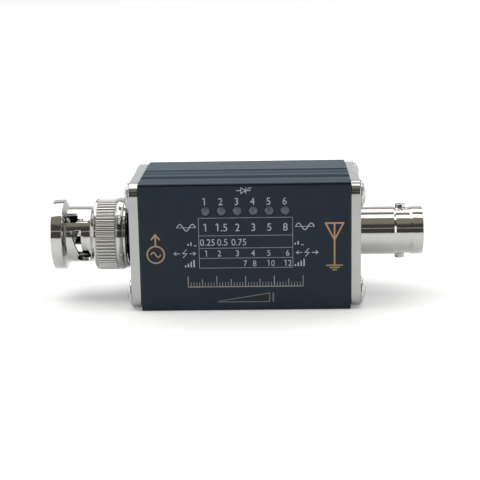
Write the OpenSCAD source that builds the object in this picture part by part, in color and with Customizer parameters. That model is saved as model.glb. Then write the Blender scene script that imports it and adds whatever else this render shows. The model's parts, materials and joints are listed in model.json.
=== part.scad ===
// Inline SWR meter in a small ribbed case, with a bayonet plug at one end and a bayonet jack at the other.
// +X runs from the plug to the jack, -Y is the labelled front, +Z is up, and z = 0 is the face it rests on.

/* [Case] */
// Length of the two case shells, without the end plates.
case_len = 40.5; // [40.5:0.5:44]
// Depth of the case, front to back.
case_d = 25.4; // [25.4:0.2:26.4]
// Height of the case.
case_h = 25.2; // [25.2:0.2:26.2]
// Wall thickness of the shells.
wall = 1.5; // [1.3:0.1:1.6]
// Depth of the shallow grooves along the top.
rib_depth = 0.35; // [0.1:0.05:0.45]

/* [End plates] */
// Thickness of each end plate.
plate_t = 2.0; // [1.6:0.1:2.4]
// Corner radius of each end plate.
plate_corner_r = 2.6; // [1.6:0.2:3.2]
// Radius of a plate screw's head.
screw_head_r = 2.7; // [2.4:0.1:2.8]

/* [Plug] */
// Number of teeth of the coupling nut's knurl.
knurl_teeth = 68; // [48:4:80]
// Outer radius of the coupling nut's front flange.
nut_flange_r = 7.05; // [6.8:0.05:7.3]
// How far the coupling nut can be pulled towards its mate.
nut_pull = 0.6; // [0.3:0.1:0.7]

/* [Jack] */
// Radius of the jack's barrel.
barrel_r = 4.825; // [4.8:0.005:4.85]
// Length of the jack's barrel outside the plate.
barrel_len = 12.85; // [12.6:0.05:13.2]

/* [Indicators] */
// Diameter of one indicator lamp.
led_dia = 1.8; // [1.6:0.1:2.0]
// Distance from one indicator lamp to the next.
led_pitch = 3.05; // [2.9:0.05:3.1]

/* [Switch] */
// Distance from one switch position to the next.
switch_step = 2.0; // [1.4:0.1:2.0]

/* [Hidden] */
$fn = 96;
slip = 0.02;
half_len = case_len / 2;
plate_face = half_len + plate_t;
axis_z = 12.7;
split_y = 1.0;
corner_r = 0.6;
inner_y = case_d / 2 - wall;
inner_top = case_h - wall;
mid_z = case_h / 2;
plate_gap = 0.15;
screw_y = case_d / 2 - 3.15;
screw_z = case_h / 2 - 3.05;
screw_r = 1.5;
boss_r = 2.3;
screw_len = 8;
tail_r = 3.95;
tail_len = 5.35;
panel_nut_af = 11;
panel_nut_t = 2.0;
lock_washer_t = 0.5;
nut_front = 16.3;
nut_rear = 1.35;
nut_cyl_r = 5.62;
nut_bore_r = 4.95;
nut_rear_bore_r = 5.75;
nut_step = 5.65;
lug_r = 1.0;
lug_tip_r = 5.48;
slot_w = 2.35;
ramp_rise = 0.0279;
ramp_tilt = -16;
contact_r = 4.02;
contact_tip = 10.75;
flange_s = 4.05 + nut_pull;
spring_room = nut_pull + 0.15;
neck_r = 4.65;
led_x = 0.15;
led_z = 19.78;
label_t = 0.15;
board_front = -6.4;
board_back = -4.8;
power_z = 5.7;
power_t = 1.0;
switch_x = -7;
switch_z = power_z + power_t + 1.7;
usb_x = 8;
usb_w = 8.94;
usb_h = 3.2;
usb_z = power_z + power_t + usb_h / 2;
core_r = 4.3;
core_bore = 2.2;
core_w = 3.2;

// ---- shared helpers ----

// Turns a profile of [radius, distance outwards from the plate] about the plug's axis.
module turned_plug(points) {
  translate([-plate_face, 0, axis_z])
    rotate([0, -90, 0])
      rotate_extrude()
        polygon(points);
}

// The same for the jack's axis.
module turned_jack(points) {
  translate([plate_face, 0, axis_z])
    rotate([0, 90, 0])
      rotate_extrude()
        polygon(points);
}

// A plain ring on the plug's axis, from distance s0 to s1.
module plug_ring(r0, r1, s0, s1) {
  turned_plug([[r0, s0], [r1, s0], [r1, s1], [r0, s1]]);
}

module jack_ring(r0, r1, s0, s1) {
  turned_jack([[r0, s0], [r1, s0], [r1, s1], [r0, s1]]);
}

// A flat section in Y and Z drawn along the case.
module along_case(length) {
  translate([-length / 2, 0, 0])
    rotate([90, 0, 90])
      linear_extrude(length)
        children();
}

module rounded_rect(y0, z0, y1, z1, r) {
  translate([y0 + r, z0])
    square([y1 - y0 - 2 * r, z1 - z0]);
  translate([y0, z0 + r])
    square([y1 - y0, z1 - z0 - 2 * r]);
  for (y = [y0 + r, y1 - r], z = [z0 + r, z1 - r])
    translate([y, z])
      circle(r = r);
}

module rod(x, y, z, r, length, axis) {
  translate([x, y, z])
    rotate(axis == "x" ? [0, 90, 0] : axis == "y" ? [-90, 0, 0] : [0, 0, 0])
      cylinder(r = r, h = length);
}

module box(x0, x1, y0, y1, z0, z1) {
  translate([x0, y0, z0])
    cube([x1 - x0, y1 - y0, z1 - z0]);
}

// ---- case ----

// Shallow grooves along the top, between rounded ridges, and the groove that hides the seam.
module top_grooves() {
  top = case_h;
  polygon([
    [-case_d / 2 - 1, top - rib_depth * 0.4], [-10.3, top - rib_depth * 0.4],
    [-9.8, top], [-9.8, top + 1], [-case_d / 2 - 1, top + 1]
  ]);
  polygon([
    [-8.6, top + 0.01], [-8.0, top - rib_depth], [-5.6, top - rib_depth], [-5.0, top + 0.01]
  ]);
  polygon([
    [-4.2, top + 0.01], [-3.7, top - rib_depth * 0.7], [-1.4, top - rib_depth * 0.7],
    [-0.7, top + 0.01]
  ]);
  polygon([
    [split_y - 0.75, top + 0.01], [split_y, top - rib_depth * 1.4], [split_y + 0.75, top + 0.01]
  ]);
  polygon([
    [2.6, top + 1], [2.6, top + 0.01], [3.2, top - rib_depth * 0.5],
    [case_d / 2 + 1, top - rib_depth * 0.5], [case_d / 2 + 1, top + 1]
  ]);
}

module shell_section() {
  difference() {
    union() {
      difference() {
        rounded_rect(-case_d / 2, 0, case_d / 2, case_h, corner_r);
        translate([-inner_y, wall])
          square([2 * inner_y, case_h - 2 * wall]);
      }
      for (y = [-screw_y, screw_y], z = [mid_z - screw_z, mid_z + screw_z])
        translate([y, z]) {
          circle(r = boss_r);
          translate([y > 0 ? 0 : -2.4, z > mid_z ? 0 : -2.4])
            square([2.4, 2.4]);
        }
      for (y = [board_front - 0.5, board_back + 0.05], z = [wall - 0.1, inner_top - 0.7])
        translate([y, z])
          square([0.45, 0.8]);
    }
    for (y = [-screw_y, screw_y], z = [mid_z - screw_z, mid_z + screw_z])
      translate([y, z])
        circle(r = screw_r + slip);
    top_grooves();
    polygon([[split_y - 0.6, -0.01], [split_y, 0.35], [split_y + 0.6, -0.01]]);
  }
}

// Tongues that locate one shell in the other, in the middle of the top and bottom walls.
module seam_tongues(extra) {
  for (z = [wall * 0.42, case_h - wall * 0.42 - 0.5])
    translate([split_y - 0.5, z - extra])
      square([1.1 + extra, 0.5 + 2 * extra]);
}

module front_shell() {
  color([0.16, 0.19, 0.23])
    difference() {
      along_case(case_len)
        union() {
          intersection() {
            shell_section();
            translate([-case_d, -1])
              square([case_d + split_y - slip, case_h + 2]);
          }
          seam_tongues(0);
        }
      for (i = [0:5])
        rod(led_x + (i - 2.5) * led_pitch, -case_d / 2 - 1, led_z, led_dia / 2 + 0.08, wall + 2, "y");
      box(led_x - 3 * led_pitch, led_x + 3 * led_pitch, -inner_y, -6.9, 18.3, 21.3);
    }
}

module rear_shell() {
  color([0.16, 0.19, 0.23])
    difference() {
      along_case(case_len)
        difference() {
          intersection() {
            shell_section();
            translate([split_y, -1])
              square([case_d, case_h + 2]);
          }
          seam_tongues(slip);
        }
      usb_outline(0.12, inner_y - 1, case_d / 2 + 1);
      box(
        switch_x - switch_step - 1.0, switch_x + switch_step + 1.0,
        inner_y - 1, case_d / 2 + 1, switch_z - 0.95, switch_z + 0.95
      );
    }
}

module front_label() {
  color([0.12, 0.15, 0.18])
    difference() {
      box(
        -half_len + 0.62, half_len - 0.58,
        -case_d / 2 - label_t, -case_d / 2, 0.75, case_h - 0.75
      );
      for (i = [0:5])
        rod(led_x + (i - 2.5) * led_pitch, -case_d / 2 - 1, led_z, led_dia / 2 + 0.08, 2, "y");
    }
}

module end_plate(side) {
  color([0.78, 0.79, 0.8])
    difference() {
      translate([side * (half_len + plate_t / 2), 0, 0])
        along_case(plate_t)
          difference() {
            rounded_rect(
              -case_d / 2 + plate_gap, plate_gap, case_d / 2 - plate_gap, case_h - plate_gap,
              plate_corner_r
            );
            for (y = [-screw_y, screw_y], z = [mid_z - screw_z, mid_z + screw_z])
              translate([y, z])
                circle(r = screw_r + 0.12);
            translate([0, axis_z])
              circle(r = tail_r + 0.05);
          }
    }
}

module left_end_plate() {
  end_plate(-1);
}

module right_end_plate() {
  end_plate(1);
}

// One pan-head screw with a cross recess, its head bearing on z = 0 and its shank pointing down.
module plate_screw() {
  difference() {
    union() {
      intersection() {
        cylinder(r = screw_head_r, h = 1.1);
        translate([0, 0, 1.1 - 4.9])
          sphere(r = 4.9);
      }
      translate([0, 0, -plate_t - screw_len])
        cylinder(r = screw_r, h = plate_t + screw_len);
    }
    for (a = [0, 90])
      rotate([0, 0, a + 20])
        translate([-1.3, -0.28, 0.55])
          cube([2.6, 0.56, 2]);
  }
}

module plate_screws(side) {
  color([0.72, 0.73, 0.75])
    for (y = [-screw_y, screw_y], z = [mid_z - screw_z, mid_z + screw_z])
      translate([side * plate_face, y, z])
        rotate([0, side * 90, 0])
          plate_screw();
}

module left_plate_screws() {
  plate_screws(-1);
}

module right_plate_screws() {
  plate_screws(1);
}

// ---- plug ----

module plug_body() {
  color([0.8, 0.8, 0.78])
    difference() {
      turned_plug([
        [2.6, -tail_len], [tail_r - 0.3, -tail_len], [tail_r, -tail_len + 0.3], [tail_r, 0],
        [5.4, 0], [5.4, 0.9], [4.1, 0.9], [4.1, flange_s], [5.6, flange_s], [5.6, 5.5],
        [3.85, 5.5], [3.85, 6.15], [contact_r, 6.15], [contact_r, contact_tip - 0.15],
        [contact_r - 0.15, contact_tip], [3.5, contact_tip], [3.5, 4.9], [2.6, 4.9]
      ]);
      for (a = [0, 90])
        translate([-plate_face - contact_tip - 0.5, 0, axis_z])
          rotate([a + 45, 0, 0])
            translate([0, -5, -0.2])
              cube([contact_tip - 6.1, 10, 0.4]);
    }
}

// One cut of the bayonet slot, square to the barrel at the given angle and distance.
module slot_cut(angle, s, width, run, tilt, r0, r1) {
  translate([-plate_face - s, 0, axis_z])
    rotate([-angle, 0, 0])
      rotate([0, tilt, 0])
        translate([-width / 2, -r1, -run / 2])
          cube([width, r1 - r0, run]);
}

// Distance of the ramp's centre from the plate at an angle from the front.
function ramp_s(angle) = 11.49 + ramp_rise * (angle - 20.8);

module bayonet_slot() {
  // Window behind the flange, where the lug comes out of its entry groove.
  slot_cut(48, 12.75, 3.2, 2.3, 0, 3.5, 6);
  // Entry groove for the lug, through the flange.
  slot_cut(48, 14.5, 4.2, 2.3, 0, 3.5, 5.53);
  // Ramp under the bridge, which stays closed on the outside.
  for (a = [28:8:44])
    slot_cut(a, ramp_s(a), slot_w, 1.2, ramp_tilt, 3.5, 5.53);
  // Open ramp.
  for (a = [18:-7:-45])
    slot_cut(a, ramp_s(a), slot_w, 1.0, ramp_tilt, 3.5, 6.5);
  // Round seat at the ramp's end.
  translate([-plate_face - 10.15, 0, axis_z])
    rotate([47, 0, 0])
      translate([0, -6.5, 0])
        rotate([-90, 0, 0])
          cylinder(r = 1.4, h = 3);
}

module plug_coupling_nut() {
  color([0.83, 0.83, 0.81])
    difference() {
      union() {
        turned_plug([
          [nut_rear_bore_r, nut_rear], [6.55, nut_rear], [6.85, nut_rear + 0.2], [6.88, 2.0],
          [7.05, 2.0], [7.3, 2.95], [7.3, 3.2], [7.0, 3.35], [7.0, 7.3], [7.15, 7.4],
          [7.15, 7.75], [6.0, 8.35], [nut_cyl_r, 8.6], [nut_cyl_r, 13.4],
          [5.9, 13.55], [nut_flange_r, 14.1], [nut_flange_r, nut_front - 0.3],
          [nut_flange_r - 0.3, nut_front], [5.3, nut_front], [nut_bore_r, nut_front - 0.35],
          [nut_bore_r, nut_step], [nut_rear_bore_r, nut_step], [nut_rear_bore_r, 3.25],
          [6.15, 3.25], [6.15, 2.5], [nut_rear_bore_r, 2.5]
        ]);
        translate([-plate_face - 7.2, 0, axis_z])
          rotate([0, 90, 0])
            linear_extrude(3.7)
              difference() {
                union() {
                  for (i = [0:knurl_teeth - 1])
                    rotate(i * 360 / knurl_teeth)
                      polygon([[6.9, -0.21], [7.24, -0.1], [7.24, 0.1], [6.9, 0.21]]);
                }
                circle(r = 6.8);
              }
      }
      for (side = [0, 180])
        translate([0, 0, axis_z])
          rotate([side, 0, 0])
            translate([0, 0, -axis_z])
              bayonet_slot();
    }
}

module plug_retaining_ring() {
  color([0.6, 0.6, 0.6])
    difference() {
      plug_ring(5.0, 6.1, 2.55, 3.15);
      translate([-plate_face - 4, -0.6, axis_z])
        cube([4, 1.2, 8]);
    }
}

module plug_thrust_washer() {
  color([0.7, 0.7, 0.7])
    plug_ring(4.2, 5.65, 3.2, 3.5);
}

// A spring washer bowed about one axis, between the thrust washer and the body's flange.
module plug_wave_spring() {
  bow_r = (5.4 * 5.4 + spring_room * spring_room) / (2 * spring_room);
  color([0.62, 0.62, 0.64])
    intersection() {
      plug_ring(4.25, 5.4, 3.4, 4.8);
      translate([-plate_face - 3.55 - bow_r, 0, axis_z - 8])
        linear_extrude(16)
          difference() {
            circle(r = bow_r);
            circle(r = bow_r - 0.22);
          }
    }
}

module plug_gasket() {
  color([0.75, 0.3, 0.2])
    plug_ring(3.87, 4.8, 5.52, 6.12);
}

module plug_insulator() {
  color([0.95, 0.95, 0.93])
    turned_plug([
      [1.02, -5.0], [2.58, -5.0], [2.58, 4.92], [3.48, 4.92], [3.48, 6.1], [0.7, 6.1],
      [0.7, 5.0], [1.02, 5.0]
    ]);
}

module plug_centre_pin() {
  color([0.85, 0.68, 0.3])
    turned_plug([
      [0, -7.0], [0.5, -7.0], [0.5, -5.2], [1.0, -5.2], [1.0, 4.95], [0.68, 4.95],
      [0.68, 9.7], [0.25, 10.4], [0, 10.4]
    ]);
}

// A washer with teeth all round its bore.
module lock_washer(side) {
  color([0.7, 0.7, 0.7])
    translate([side * (half_len - lock_washer_t / 2), 0, axis_z])
      rotate([0, 90, 0])
        linear_extrude(lock_washer_t, center = true)
          difference() {
            circle(r = 6.0);
            circle(r = tail_r + 0.05);
            for (i = [0:9])
              rotate(i * 36)
                translate([3.5, -0.45])
                  square([1.5, 0.9]);
          }
}

module plug_lock_washer() {
  lock_washer(-1);
}

module panel_nut(side) {
  inner = half_len - lock_washer_t - panel_nut_t;
  color([0.8, 0.78, 0.72])
    translate([side > 0 ? inner : -inner - panel_nut_t, 0, axis_z])
      rotate([0, 90, 0])
        linear_extrude(panel_nut_t)
          difference() {
            circle(r = panel_nut_af / 2 / cos(30), $fn = 6);
            circle(r = tail_r + slip);
          }
}

module plug_panel_nut() {
  panel_nut(-1);
}

// ---- jack ----

module jack_body() {
  color([0.8, 0.8, 0.78])
    union() {
      turned_jack([
        [2.6, -tail_len], [tail_r - 0.3, -tail_len], [tail_r, -tail_len + 0.3], [tail_r, 0],
        [barrel_r, 0], [barrel_r, 7.35], [neck_r, 7.5], [neck_r, barrel_len - 2.25],
        [barrel_r, barrel_len - 2.1], [barrel_r, barrel_len - 0.25],
        [barrel_r - 0.25, barrel_len], [4.4, barrel_len], [4.12, barrel_len - 0.3],
        [4.12, 7.65], [3.3, 7.65], [3.3, -1], [2.6, -1]
      ]);
      for (up = [0, 180])
        translate([plate_face + 8.5, 0, axis_z])
          rotate([up, 0, 0])
            translate([0, 0, 4.4]) {
              cylinder(r = lug_r, h = lug_tip_r - 4.4 - 0.15);
              translate([0, 0, lug_tip_r - 4.4 - 0.15])
                cylinder(r1 = lug_r, r2 = lug_r - 0.15, h = 0.15);
            }
    }
}

module jack_insulator() {
  color([0.95, 0.95, 0.93])
    turned_jack([
      [1.07, -5.0], [2.58, -5.0], [2.58, -0.98], [3.28, -0.98], [3.28, 7.6], [3.2, 7.7],
      [3.2, barrel_len - 0.9], [3.0, barrel_len - 0.7], [1.3, barrel_len - 0.7],
      [1.07, barrel_len - 0.95]
    ]);
}

module jack_centre_contact() {
  color([0.85, 0.68, 0.3])
    difference() {
      turned_jack([
        [0, -7.0], [0.5, -7.0], [0.5, -5.2], [1.05, -5.2], [1.05, barrel_len - 1.1],
        [0.7, barrel_len - 1.1], [0.7, barrel_len - 6.2], [0, barrel_len - 6.2]
      ]);
      for (a = [0, 90])
        translate([plate_face + barrel_len - 4, 0, axis_z])
          rotate([a, 0, 0])
            translate([0, -2, -0.1])
              cube([4, 4, 0.2]);
    }
}

module jack_lock_washer() {
  lock_washer(1);
}

module jack_panel_nut() {
  panel_nut(1);
}

// ---- main board ----

module main_board() {
  color([0.1, 0.35, 0.2])
    difference() {
      box(-half_len + 0.2, half_len - 0.2, board_front, board_back, wall + 0.1, inner_top - 0.1);
      for (side = [-1, 1])
        translate([side * half_len - 3.4, board_front - 1, axis_z - 6.6])
          cube([6.8, 4, 13.2]);
      for (i = [0:5], dx = [-0.5, 0.5])
        rod(led_x + (i - 2.5) * led_pitch + dx, board_front - 1, led_z, 0.3, 4, "y");
      for (i = [0:3])
        rod((i - 1.5) * 2.54, board_front - 1, 4.4, 0.42, 4, "y");
    }
}

// A round lamp with a low dome, a base ring and two leads through the board.
module led(i) {
  tip = -case_d / 2 - label_t - 0.25;
  lens_r = led_dia / 2;
  color([0.5, 0.53, 0.56])
    translate([led_x + (i - 2.5) * led_pitch, 0, led_z]) {
      intersection() {
        rod(0, tip, 0, lens_r, -9.9 - tip, "y");
        translate([0, tip + 1.6, 0])
          union() {
            sphere(r = 1.6);
            rod(0, 0, 0, 1.6, 6, "y");
          }
      }
      rod(0, -9.9, 0, lens_r + 0.2, 0.6, "y");
      for (dx = [-0.5, 0.5])
        rod(dx, -9.3, 0, 0.22, board_back + 0.8 + 9.3, "y");
    }
}

module led_1() {
  led(0);
}

module led_2() {
  led(1);
}

module led_3() {
  led(2);
}

module led_4() {
  led(3);
}

module led_5() {
  led(4);
}

module led_6() {
  led(5);
}

// A chip with gull-wing legs on the front of the main board.
module front_chip(x, z, length, width, legs, pitch) {
  box(x - length / 2, x + length / 2, board_front - 1.4, board_front - 0.1, z - width / 2, z + width / 2);
  for (i = [0:legs - 1], side = [-1, 1]) {
    lx = x + (i - (legs - 1) / 2) * pitch;
    box(
      lx - 0.15, lx + 0.15, board_front - 0.75, board_front - 0.55,
      side > 0 ? z + width / 2 : z - width / 2 - 0.6, side > 0 ? z + width / 2 + 0.6 : z - width / 2
    );
    box(
      lx - 0.15, lx + 0.15, board_front - 0.75, board_front - 0.02,
      side > 0 ? z + width / 2 + 0.4 : z - width / 2 - 0.6,
      side > 0 ? z + width / 2 + 0.6 : z - width / 2 - 0.4
    );
  }
}

module microcontroller() {
  color([0.08, 0.08, 0.09])
    front_chip(1.5, 11.5, 8.6, 3.9, 7, 1.27);
}

module operational_amplifier() {
  color([0.08, 0.08, 0.09])
    front_chip(-9.5, 11.5, 4.9, 3.9, 4, 1.27);
}

module detector_diodes() {
  color([0.75, 0.4, 0.2])
    for (x = [-13, 13])
      union() {
        rod(x - 1.6, board_back + 0.95, 19.5, 0.85, 3.2, "x");
        for (side = [-1, 1])
          box(
            side > 0 ? x + 1.5 : x - 1.8, side > 0 ? x + 1.8 : x - 1.5,
            board_back + 0.02, board_back + 1.85, 18.6, 20.4
          );
      }
}

module chip_part(x, z, length, width, height) {
  box(
    x - length / 2, x + length / 2, board_front - height - 0.02, board_front - 0.02,
    z - width / 2, z + width / 2
  );
}

module chip_resistors() {
  color([0.12, 0.12, 0.12])
    for (i = [0:5])
      chip_part(led_x + (i - 2.5) * led_pitch, 16.4, 1.2, 2.0, 0.5);
}

module chip_capacitors() {
  color([0.7, 0.6, 0.45])
    for (x = [-12, -8, -4, 4, 8, 12])
      chip_part(x, 7.2, 2.0, 1.25, 0.9);
}

// ---- radio-frequency line ----

module through_line_conductor() {
  color([0.75, 0.45, 0.25])
    rod(-plate_face + 7.05, 0, axis_z, 0.5, 2 * (plate_face - 7.05), "x");
}

module through_line_sleeve() {
  color([0.9, 0.9, 0.88])
    translate([-plate_face + 8, 0, axis_z])
      rotate([0, 90, 0])
        difference() {
          cylinder(r = 1.3, h = 2 * (plate_face - 8));
          translate([0, 0, -1])
            cylinder(r = 0.52, h = 2 * plate_face);
        }
}

// A ring core with its axis along Z, resting on z = 0.
module ring_core() {
  difference() {
    cylinder(r = core_r, h = core_w);
    translate([0, 0, -1])
      cylinder(r = core_bore, h = core_w + 2);
  }
}

// Turns of wire round the core, joined by a ring of the same wire at the rim.
module ring_winding(turns) {
  union() {
    for (i = [0:turns - 1])
      rotate([0, 0, (i + 0.5) * 360 / turns])
        translate([0, 0.17, 0])
          rotate([90, 0, 0])
            linear_extrude(0.34)
              difference() {
                translate([core_bore - 0.36, -0.36])
                  square([core_r - core_bore + 0.72, core_w + 0.72]);
                translate([core_bore - slip, -slip])
                  square([core_r - core_bore + 2 * slip, core_w + 2 * slip]);
              }
    translate([0, 0, core_w / 2 - 0.17])
      difference() {
        cylinder(r = core_r + 0.36, h = 0.34);
        translate([0, 0, -1])
          cylinder(r = core_r + slip, h = 3);
      }
  }
}

module at_current_core() {
  translate([-9, 0, axis_z])
    rotate([0, 90, 0])
      children();
}

module at_voltage_core() {
  translate([5, 0, power_z + power_t + 0.85])
    children();
}

module current_core() {
  color([0.28, 0.3, 0.3])
    at_current_core()
      ring_core();
}

module current_winding() {
  color([0.7, 0.3, 0.12])
    at_current_core()
      ring_winding(10);
}

module voltage_core() {
  color([0.28, 0.3, 0.3])
    at_voltage_core()
      ring_core();
}

module voltage_winding() {
  color([0.7, 0.3, 0.12])
    at_voltage_core()
      ring_winding(12);
}

// ---- power board ----

module power_board() {
  color([0.1, 0.35, 0.2])
    difference() {
      box(-16, 16, board_back + 0.2, inner_y - 0.2, power_z, power_z + power_t);
      for (i = [0:3])
        rod((i - 1.5) * 2.54, -3.3, power_z - 1, 0.42, 4, "z");
    }
}

module board_header() {
  color([0.07, 0.07, 0.08])
    difference() {
      box(-5.08, 5.08, board_back + 0.05, -2.2, 3.15, power_z - 0.05);
      for (i = [0:3]) {
        rod((i - 1.5) * 2.54, board_back - 1, 4.4, 0.34, 2.8, "y");
        rod((i - 1.5) * 2.54, -3.3, 4.1, 0.34, 4, "z");
      }
    }
}

module board_header_pins() {
  color([0.85, 0.7, 0.35])
    for (i = [0:3])
      union() {
        rod((i - 1.5) * 2.54, board_front - 1.2, 4.4, 0.32, -3.3 - board_front + 1.2, "y");
        rod((i - 1.5) * 2.54, -3.3, 4.4, 0.32, power_z + power_t + 0.3 - 4.4, "z");
      }
}

// The oval of the charge socket, grown by extra, from one depth to another.
module usb_outline(extra, y0, y1) {
  h = usb_h + 2 * extra;
  flat = usb_w - usb_h;
  translate([usb_x, y0, usb_z]) {
    translate([-flat / 2, 0, -h / 2])
      cube([flat, y1 - y0, h]);
    for (side = [-1, 1])
      translate([side * flat / 2, 0, 0])
        rotate([-90, 0, 0])
          cylinder(r = h / 2, h = y1 - y0);
  }
}

module usb_socket_shell() {
  color([0.75, 0.76, 0.78])
    difference() {
      usb_outline(-0.02, 5.2, 12.5);
      usb_outline(-0.3, 6.2, 14);
    }
}

module usb_socket_tongue() {
  color([0.07, 0.07, 0.08])
    box(usb_x - 3.3, usb_x + 3.3, 6.25, 11.9, usb_z - 0.35, usb_z + 0.35);
}

module charge_chip() {
  color([0.08, 0.08, 0.09])
    union() {
      box(-0.4, 2.5, 7.6, 9.2, power_z + power_t + 0.1, power_z + power_t + 1.2);
      for (x = [0.1, 1.05, 2.0], side = [-1, 1])
        box(
          x - 0.2, x + 0.2, side > 0 ? 9.1 : 7.0, side > 0 ? 9.8 : 7.7,
          power_z + power_t + 0.02, power_z + power_t + 0.3
        );
    }
}

module mode_switch_body() {
  color([0.55, 0.56, 0.58])
    difference() {
      box(switch_x - 4.5, switch_x + 4.5, 6.9, inner_y - 0.1, switch_z - 1.68, switch_z + 1.7);
      box(
        switch_x - switch_step - 1.45, switch_x + switch_step + 1.45, 8.2, 9.8,
        switch_z - 1.1, switch_z + 1.1
      );
      box(
        switch_x - switch_step - 0.85, switch_x + switch_step + 0.85, 9.7, inner_y + 1,
        switch_z - 0.85, switch_z + 0.85
      );
    }
}

module mode_switch_slider() {
  rest = switch_x - switch_step;
  color([0.08, 0.08, 0.09])
    union() {
      box(rest - 1.35, rest + 1.35, 8.3, 9.7, switch_z - 1.0, switch_z + 1.0);
      box(rest - 0.75, rest + 0.75, 9.6, case_d / 2 + 1.2, switch_z - 0.75, switch_z + 0.75);
    }
}

module battery_cell() {
  color([0.72, 0.73, 0.75])
    translate([-12.5, 0, 0])
      rotate([90, 0, 90])
        linear_extrude(25)
          rounded_rect(5.0, 10.5, 10.4, 19.3, 1.2);
}

module battery_leads() {
  color([0.75, 0.15, 0.12])
    for (y = [6.6, 8.8])
      union() {
        rod(-14.2, y, 14.5, 0.4, 1.68, "x");
        translate([-14.2, y, 14.5])
          sphere(r = 0.4);
        rod(-14.2, y, power_z + power_t + 0.02, 0.4, 14.5 - power_z - power_t - 0.02, "z");
      }
}

front_shell();
rear_shell();
front_label();
left_end_plate();
right_end_plate();
left_plate_screws();
right_plate_screws();
plug_body();
plug_coupling_nut();
plug_retaining_ring();
plug_thrust_washer();
plug_wave_spring();
plug_gasket();
plug_insulator();
plug_centre_pin();
plug_lock_washer();
plug_panel_nut();
jack_body();
jack_insulator();
jack_centre_contact();
jack_lock_washer();
jack_panel_nut();
main_board();
led_1();
led_2();
led_3();
led_4();
led_5();
led_6();
microcontroller();
operational_amplifier();
detector_diodes();
chip_resistors();
chip_capacitors();
through_line_conductor();
through_line_sleeve();
current_core();
current_winding();
voltage_core();
voltage_winding();
power_board();
board_header();
board_header_pins();
usb_socket_shell();
usb_socket_tongue();
charge_chip();
mode_switch_body();
mode_switch_slider();
battery_cell();
battery_leads();
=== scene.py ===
"""Looks of the SWR meter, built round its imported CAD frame.

+X runs from the plug to the jack, -Y is the labelled front, +Z is up. Units are metres; MM turns millimetres
into metres. Distances called s run outwards from a plate's face along a connector's axis, in millimetres.
"""

import json
import math
import random

import bpy
import bmesh
from mathutils import Matrix, Vector


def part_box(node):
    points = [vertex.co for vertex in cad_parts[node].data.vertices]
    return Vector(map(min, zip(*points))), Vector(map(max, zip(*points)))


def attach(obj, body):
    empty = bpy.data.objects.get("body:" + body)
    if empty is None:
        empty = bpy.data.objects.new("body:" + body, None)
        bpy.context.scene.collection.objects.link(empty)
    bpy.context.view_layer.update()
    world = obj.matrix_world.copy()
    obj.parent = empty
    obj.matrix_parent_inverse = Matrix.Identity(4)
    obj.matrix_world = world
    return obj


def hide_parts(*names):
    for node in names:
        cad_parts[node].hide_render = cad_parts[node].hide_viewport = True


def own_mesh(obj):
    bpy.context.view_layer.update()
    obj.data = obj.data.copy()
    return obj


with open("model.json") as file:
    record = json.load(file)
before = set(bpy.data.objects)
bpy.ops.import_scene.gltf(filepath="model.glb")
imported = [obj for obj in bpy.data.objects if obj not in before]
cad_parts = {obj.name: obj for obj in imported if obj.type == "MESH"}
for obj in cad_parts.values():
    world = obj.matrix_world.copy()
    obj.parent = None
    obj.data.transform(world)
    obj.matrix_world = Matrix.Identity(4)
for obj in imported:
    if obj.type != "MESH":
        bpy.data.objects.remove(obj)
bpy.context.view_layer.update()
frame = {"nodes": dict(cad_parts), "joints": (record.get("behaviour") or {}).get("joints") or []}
random.seed(7)

MM = 0.001
TAU = 2 * math.pi
TINY = 1e-6

# The side of each connector, its direction along X.
PLUG, JACK = -1, 1

# Edges that turn by more than these degrees stay sharp, on flat-sided pieces and on round ones.
FLAT_ANGLE = 25
ROUND_ANGLE = 30

# How far a cutter runs past the faces that it cuts, in millimetres.
OVERSHOOT = 1


# ---- places taken from the frame, in millimetres ----


def box_mm(node):
    """Lowest and highest corner of a CAD node, in millimetres."""
    low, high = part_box(node)
    return low / MM, high / MM


SHELL_LOW, SHELL_HIGH = box_mm("front_shell")
REAR_LOW, REAR_HIGH = box_mm("rear_shell")
LABEL_LOW, LABEL_HIGH = box_mm("front_label")
JACK_LOW, JACK_HIGH = box_mm("jack_body")
HALF_LEN = SHELL_HIGH.x
HALF_DEPTH = -SHELL_LOW.y
FRONT = SHELL_LOW.y
BACK = REAR_HIGH.y
SPLIT = REAR_LOW.y
TOP = SHELL_HIGH.z
MID_Z = TOP / 2
FACE = box_mm("right_end_plate")[1].x
AXIS_Z = (JACK_LOW.z + JACK_HIGH.z) / 2
JACK_R = -JACK_LOW.y
LAMPS = [f"led_{k}" for k in range(1, 7)]
LAMP_BOXES = [box_mm(name) for name in LAMPS]
LAMP_XS = [(low.x + high.x) / 2 for low, high in LAMP_BOXES]
LAMP_Z = (LAMP_BOXES[0][0].z + LAMP_BOXES[0][1].z) / 2
LAMP_PITCH = LAMP_XS[1] - LAMP_XS[0]

# Sizes that the frame's boxes don't give, in millimetres. First the case and its plates.
WALL = 1.5
CORNER_R = 0.45
RIB_R = 0.45
SEAM_DEPTH = 0.5
SEAM_GAP = 0.02
BOSS_R = 2.3
PLATE_CORNER_R = 2.6
PLATE_EDGE = 0.28

# Screws, four at the corners of each plate. A head is a cap of a sphere, and the gaps are round a shank.
SCREW_R = 1.5
SCREW_INSET_Y = 3.15
SCREW_INSET_Z = 3.05
HEAD_R = 2.7
HEAD_H = 1.1
HEAD_DOME_R = 4.9
CASE_GAP = 0.02
PLATE_GAP = 0.12
SCREW_CORNERS = [(y_side, z_side) for y_side in (-1, 1) for z_side in (-1, 1)]

# Lamps.
LAMP_R = 0.95
LAMP_HOLE_R = 0.98
LENS_H = 0.45
FLANGE_BACK = -9.3
FLANGE_T = 0.6
FLANGE_LIP = 0.2
LEAD_R = 0.22
LEAD_OFFSET = 0.5

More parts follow.
